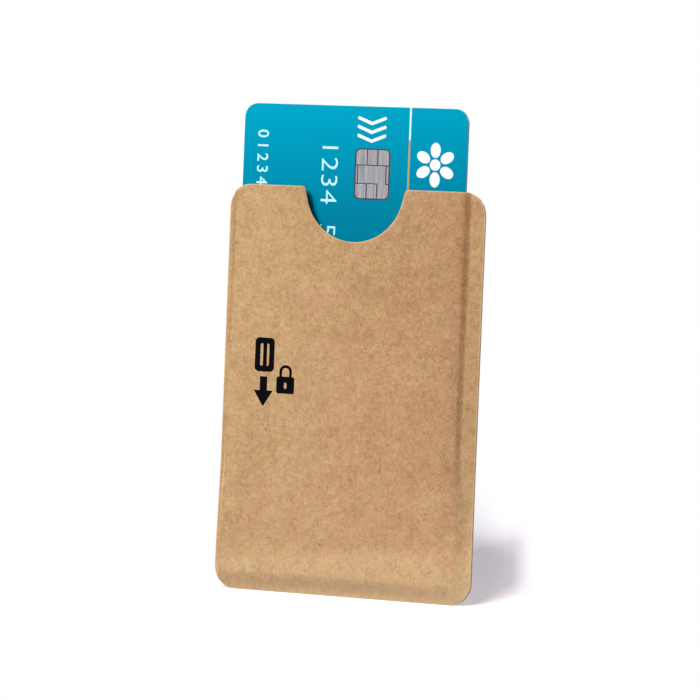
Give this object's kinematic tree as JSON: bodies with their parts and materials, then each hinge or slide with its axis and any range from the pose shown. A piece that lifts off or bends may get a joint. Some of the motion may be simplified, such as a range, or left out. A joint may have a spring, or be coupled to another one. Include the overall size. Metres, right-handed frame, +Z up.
{
  "type": "rfid card holder",
  "caption": "Upright kraft paper card sleeve with a foil lining, glued seams and a half-round thumb notch, with a chip card that slides in and out of its mouth.",
  "frame": {"origin": "middle of the sleeve's bottom edge, in the plane of the glued seams", "axes": "+Z up towards the mouth, +X to the right seen from the front, -Y out of the front panel with the thumb notch and the crown"},
  "size_m": [0.0618, 0.0024, 0.1091],
  "materials": {
    "kraft_paper": "uncoated kraft paper with fine fibres",
    "foil": "bright foil lining",
    "seam_glue": "thin clear seam glue",
    "card_film": "glossy clear film over the blue print",
    "card_print": "printed plastic sheet, blue",
    "card_core": "blue-grey plastic core",
    "antenna": "copper-coloured track",
    "contacts": "brushed silver contact plate",
    "carrier_tape": "dark glass-fibre tape",
    "resin": "black resin",
    "silicon": "grey silicon",
    "magnetic_film": "dark brown magnetic stripe",
    "signature_film": "white writing panel"
  },
  "bodies": {
    "sleeve": {"front_kraft": "kraft_paper", "front_foil": "foil", "back_kraft": "kraft_paper", "back_foil": "foil", "left_seam_glue": "seam_glue", "right_seam_glue": "seam_glue", "bottom_seam_glue": "seam_glue"},
    "card": {"card_front_film": "card_film", "card_front_sheet": "card_print", "card_inlay": "card_core", "card_back_sheet": "card_print", "card_back_film": "card_film", "antenna_coil": "antenna", "antenna_bridge": "antenna", "chip_contacts": "contacts", "chip_carrier": "carrier_tape", "chip_glue": "seam_glue", "chip_resin": "resin", "chip_die": "silicon", "magnetic_stripe": "magnetic_film", "signature_panel": "signature_film"}
  },
  "joints": [
    {"name": "card_slide", "type": "slide", "parent": "sleeve", "child": "card", "axis": [0, 0, 1], "range_m": [-0.01885, 0.0725]}
  ]
}
